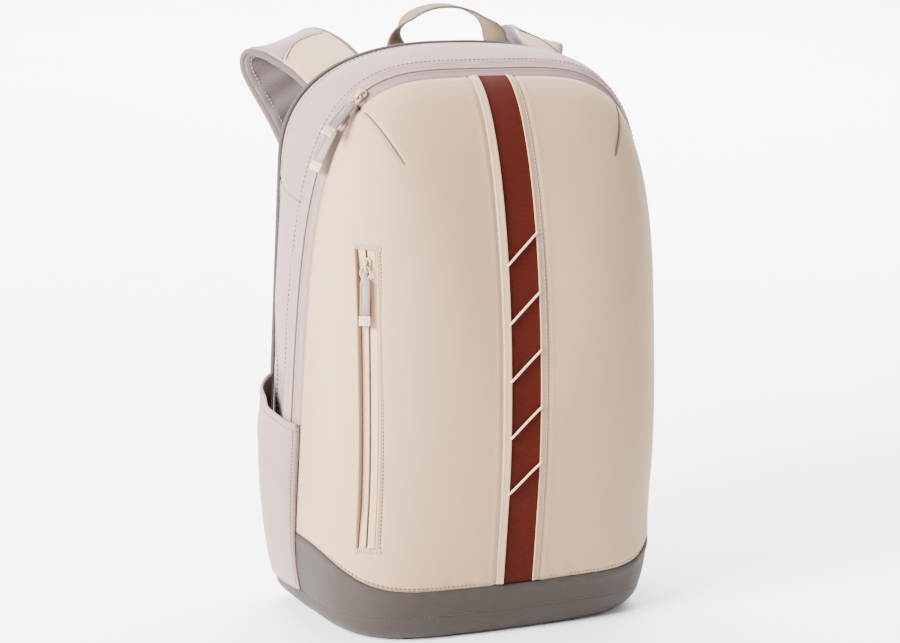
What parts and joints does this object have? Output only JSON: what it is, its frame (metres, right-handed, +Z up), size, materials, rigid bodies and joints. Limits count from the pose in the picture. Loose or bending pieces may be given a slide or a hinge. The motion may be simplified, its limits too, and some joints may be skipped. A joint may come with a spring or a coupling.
{
  "type": "racket backpack",
  "caption": "Upright soft backpack for rackets with a domed front flap, an arched zip, side bottle pockets, a webbing grab handle and padded shoulder straps.",
  "frame": {"origin": "on the flat underside of the base, in the middle of the width, under the front seam of the gusset", "axes": "+Z up, the front faces -Y and the straps are on +Y, +X is to the right seen from the front"},
  "size_m": [0.3716, 0.2754, 0.5018],
  "materials": {
    "cream_coated_fabric": "smooth coated cloth",
    "cream_cord": "flat cord",
    "lilac_fabric": "fine plain weave",
    "lilac_tape": "narrow woven tape",
    "zip_coil": "moulded coil",
    "base_fabric": "coated cloth",
    "red_tape": "ribbed woven tape",
    "ivory_webbing": "herringbone webbing",
    "back_mesh": "spacer mesh over foam",
    "dark_lining": "lining cloth",
    "stiff_plastic": "sheet plastic",
    "buckle_plastic": "moulded plastic",
    "slider_enamel": "enamelled zinc",
    "puller_rubber": "soft moulded rubber",
    "puller_tip": "moulded end cap"
  },
  "bodies": {
    "bag_shell": {"back_pad_left": "back_mesh", "back_pad_right": "back_mesh", "back_panel": "back_mesh", "back_piping": "dark_lining", "base_board": "stiff_plastic", "base_panel": "base_fabric", "base_tray": "base_fabric", "bottle_pocket_left": "lilac_fabric", "bottle_pocket_right": "lilac_fabric", "divider_sleeve": "dark_lining", "frame_sheet": "stiff_plastic", "handle_foot_left": "ivory_webbing", "handle_foot_right": "ivory_webbing", "pocket_binding_left": "lilac_tape", "pocket_binding_right": "lilac_tape", "side_panel_left": "lilac_fabric", "side_panel_right": "lilac_fabric", "strap_tab_left": "lilac_fabric", "strap_tab_right": "lilac_fabric", "strap_yoke": "lilac_fabric", "top_gusset": "lilac_fabric", "zip_coil_body": "zip_coil", "zip_tape_body": "lilac_tape"},
    "front_flap": {"front_panel": "cream_coated_fabric", "stripe_tape": "red_tape", "channel_edge_left": "cream_coated_fabric", "channel_edge_right": "cream_coated_fabric", "stripe_lace_1": "cream_cord", "stripe_lace_2": "cream_cord", "stripe_lace_3": "cream_cord", "stripe_lace_4": "cream_cord", "stripe_lace_5": "cream_cord", "zip_tape_flap": "lilac_tape", "zip_coil_flap": "zip_coil", "pocket_zip_tape": "lilac_tape", "pocket_zip_coil": "zip_coil", "pocket_pouch": "dark_lining"},
    "pocket_slider": {"pocket_slider": "slider_enamel"},
    "pocket_puller": {"pocket_puller_ring": "slider_enamel", "pocket_puller_tab": "puller_rubber", "pocket_puller_tip": "puller_tip"},
    "zip_upper_slider": {"zip_upper_slider": "slider_enamel"},
    "zip_upper_puller": {"zip_upper_puller_ring": "slider_enamel", "zip_upper_puller_tab": "puller_rubber", "zip_upper_puller_tip": "puller_tip"},
    "zip_lower_slider": {"zip_lower_slider": "slider_enamel"},
    "zip_lower_puller": {"zip_lower_puller_ring": "slider_enamel", "zip_lower_puller_tab": "puller_rubber", "zip_lower_puller_tip": "puller_tip"},
    "grab_handle": {"grab_handle": "ivory_webbing"},
    "strap_left": {"strap_cap_left": "cream_coated_fabric", "strap_pad_left": "lilac_fabric", "strap_lining_left": "dark_lining", "ladder_lock_left": "buckle_plastic", "strap_webbing_left": "lilac_tape"},
    "strap_right": {"strap_cap_right": "cream_coated_fabric", "strap_pad_right": "lilac_fabric", "strap_lining_right": "dark_lining", "ladder_lock_right": "buckle_plastic", "strap_webbing_right": "lilac_tape"}
  },
  "joints": [
    {"name": "front_flap_hinge", "type": "hinge", "parent": "bag_shell", "child": "front_flap", "pos_m": [0, -0.10272, 0.0447], "axis": [1, 0, 0], "range_deg": [0, 30]},
    {"name": "pocket_slider_slide", "type": "slide", "parent": "front_flap", "child": "pocket_slider", "axis": [0, -0.1014, -0.9948], "range_m": [0, 0.2]},
    {"name": "pocket_puller_swing", "type": "hinge", "parent": "pocket_slider", "child": "pocket_puller", "pos_m": [-0.1316, -0.06125, 0.31115], "axis": [-0.8004, 0.5964, -0.0608], "range_deg": [0, 110]},
    {"name": "zip_upper_slider_run", "type": "hinge", "parent": "front_flap", "child": "zip_upper_slider", "pos_m": [-0.05719, -0.00722, 0.3611], "axis": [0, 0.9998, 0.02], "range_deg": [0, 35]},
    {"name": "zip_upper_puller_swing", "type": "hinge", "parent": "zip_upper_slider", "child": "zip_upper_puller", "pos_m": [-0.11809, -0.00716, 0.4407], "axis": [-0.6189, 0.6881, 0.3786], "range_deg": [0, 90]},
    {"name": "zip_lower_slider_run", "type": "hinge", "parent": "front_flap", "child": "zip_lower_slider", "pos_m": [0.05484, -0.00635, 0.31765], "axis": [0, -0.9998, -0.02], "range_deg": [0, 25]},
    {"name": "zip_lower_puller_swing", "type": "hinge", "parent": "zip_lower_slider", "child": "zip_lower_puller", "pos_m": [-0.13434, -0.00682, 0.42207], "axis": [-0.653, 0.7021, 0.2839], "range_deg": [0, 30]},
    {"name": "grab_handle_swing", "type": "hinge", "parent": "bag_shell", "child": "grab_handle", "pos_m": [0, 0.0666, 0.46], "axis": [1, 0, 0], "range_deg": [-75, 8]},
    {"name": "strap_left_swing", "type": "hinge", "parent": "bag_shell", "child": "strap_left", "pos_m": [-0.1015, 0.066, 0.441], "axis": [0.0066, -0.0013, 1], "range_deg": [-15, 15]},
    {"name": "strap_right_swing", "type": "hinge", "parent": "bag_shell", "child": "strap_right", "pos_m": [0.1015, 0.066, 0.441], "axis": [-0.0066, -0.0013, 1], "range_deg": [-15, 15]}
  ]
}
